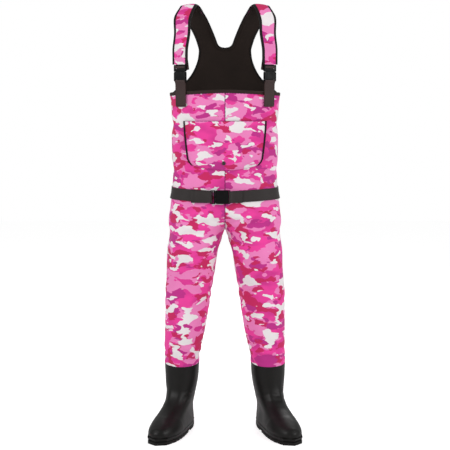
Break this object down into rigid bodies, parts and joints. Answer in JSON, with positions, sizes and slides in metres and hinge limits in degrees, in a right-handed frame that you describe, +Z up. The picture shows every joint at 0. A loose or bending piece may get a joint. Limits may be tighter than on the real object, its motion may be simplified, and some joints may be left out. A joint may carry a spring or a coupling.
{
  "type": "chest waders",
  "caption": "Chest waders: neoprene bib suit with moulded boots, buckled braces, hand pocket and clip belt, worn for fishing in water.",
  "frame": {"origin": "on the floor, below the middle of the suit's bounding box", "axes": "+Z up, the wearer faces -Y, the wearer's left is +X"},
  "size_m": [0.4984, 0.3444, 1.4077],
  "materials": {
    "camo_neoprene": "matt knitted face",
    "lining": "matt",
    "binding_tape": "matt woven",
    "snap_metal": "satin",
    "boot_rubber": "satin",
    "webbing": "matt woven",
    "buckle_plastic": "satin"
  },
  "bodies": {
    "suit": {"front_panel_left": "camo_neoprene", "front_panel_right": "camo_neoprene", "back_panel_left": "camo_neoprene", "back_panel_right": "camo_neoprene", "back_yoke_left": "camo_neoprene", "back_yoke_right": "camo_neoprene", "bib_binding": "binding_tape", "neckline_binding": "binding_tape", "armhole_binding_left": "binding_tape", "armhole_binding_right": "binding_tape", "front_seam_tape": "lining", "back_seam_tape": "lining", "chest_pocket": "camo_neoprene", "pocket_binding_left": "binding_tape", "pocket_binding_right": "binding_tape", "snap_cap": "snap_metal", "snap_socket": "snap_metal", "snap_stud": "snap_metal", "belt_webbing": "webbing", "belt_socket": "buckle_plastic", "belt_socket_loop": "webbing", "belt_loop_middle": "webbing", "belt_loop_left": "webbing", "belt_loop_right": "webbing", "brace_socket_left": "buckle_plastic", "brace_socket_right": "buckle_plastic", "brace_anchor_left": "webbing", "brace_anchor_right": "webbing", "boot_upper_left": "boot_rubber", "boot_upper_right": "boot_rubber", "boot_foxing_left": "boot_rubber", "boot_foxing_right": "boot_rubber", "boot_sole_left": "boot_rubber", "boot_sole_right": "boot_rubber", "boot_insole_left": "lining", "boot_insole_right": "lining"},
    "belt_clip": {"belt_ladder": "buckle_plastic", "belt_strap_end": "webbing"},
    "belt_prong_up": {"belt_prong_upper": "buckle_plastic"},
    "belt_prong_low": {"belt_prong_lower": "buckle_plastic"},
    "brace_left": {"shoulder_strap_left": "camo_neoprene", "strap_binding_left": "binding_tape", "brace_webbing_left": "webbing", "brace_tail_left": "webbing", "brace_ladder_left": "buckle_plastic"},
    "brace_right": {"shoulder_strap_right": "camo_neoprene", "strap_binding_right": "binding_tape", "brace_webbing_right": "webbing", "brace_tail_right": "webbing", "brace_ladder_right": "buckle_plastic"},
    "brace_left_prong_in": {"brace_prong_left_inner": "buckle_plastic"},
    "brace_left_prong_out": {"brace_prong_left_outer": "buckle_plastic"},
    "brace_right_prong_in": {"brace_prong_right_inner": "buckle_plastic"},
    "brace_right_prong_out": {"brace_prong_right_outer": "buckle_plastic"}
  },
  "joints": [
    {"name": "belt_unclip", "type": "slide", "parent": "suit", "child": "belt_clip", "axis": [-1, 0, 0], "range_m": [0, 0.042]},
    {"name": "brace_unclip_left", "type": "slide", "parent": "suit", "child": "brace_left", "axis": [0, 0, 1], "range_m": [0, 0.026]},
    {"name": "brace_unclip_right", "type": "slide", "parent": "suit", "child": "brace_right", "axis": [0, 0, 1], "range_m": [0, 0.026]},
    {"name": "belt_squeeze_lower", "type": "hinge", "parent": "belt_clip", "child": "belt_prong_low", "pos_m": [-0.0331, -0.05959, 0.773], "axis": [0, -1, 0], "range_deg": [0, 5], "stiffness_Nm_per_rad": 0.05},
    {"name": "belt_squeeze_upper", "type": "hinge", "parent": "belt_clip", "child": "belt_prong_up", "pos_m": [-0.0331, -0.05959, 0.799], "axis": [0, -1, 0], "range_deg": [-5, 0], "stiffness_Nm_per_rad": 0.05},
    {"name": "brace_squeeze_left_outer", "type": "hinge", "parent": "brace_left", "child": "brace_left_prong_out", "pos_m": [0.15134, -0.02879, 1.1881], "axis": [0.5446, -0.8387, 0], "range_deg": [-5, 0], "stiffness_Nm_per_rad": 0.05},
    {"name": "brace_squeeze_left_inner", "type": "hinge", "parent": "brace_left", "child": "brace_left_prong_in", "pos_m": [0.12953, -0.04295, 1.1881], "axis": [0.5446, -0.8387, 0], "range_deg": [0, 5], "stiffness_Nm_per_rad": 0.05},
    {"name": "brace_squeeze_right_outer", "type": "hinge", "parent": "brace_right", "child": "brace_right_prong_out", "pos_m": [-0.15134, -0.02879, 1.1881], "axis": [-0.5446, -0.8387, 0], "range_deg": [0, 5], "stiffness_Nm_per_rad": 0.05},
    {"name": "brace_squeeze_right_inner", "type": "hinge", "parent": "brace_right", "child": "brace_right_prong_in", "pos_m": [-0.12953, -0.04295, 1.1881], "axis": [-0.5446, -0.8387, 0], "range_deg": [-5, 0], "stiffness_Nm_per_rad": 0.05}
  ],
  "couplings": [
    {"joint": "belt_squeeze_upper", "follows": "belt_squeeze_lower", "ratio": -1},
    {"joint": "brace_squeeze_left_outer", "follows": "brace_squeeze_left_inner", "ratio": -1},
    {"joint": "brace_squeeze_right_outer", "follows": "brace_squeeze_right_inner", "ratio": -1}
  ]
}
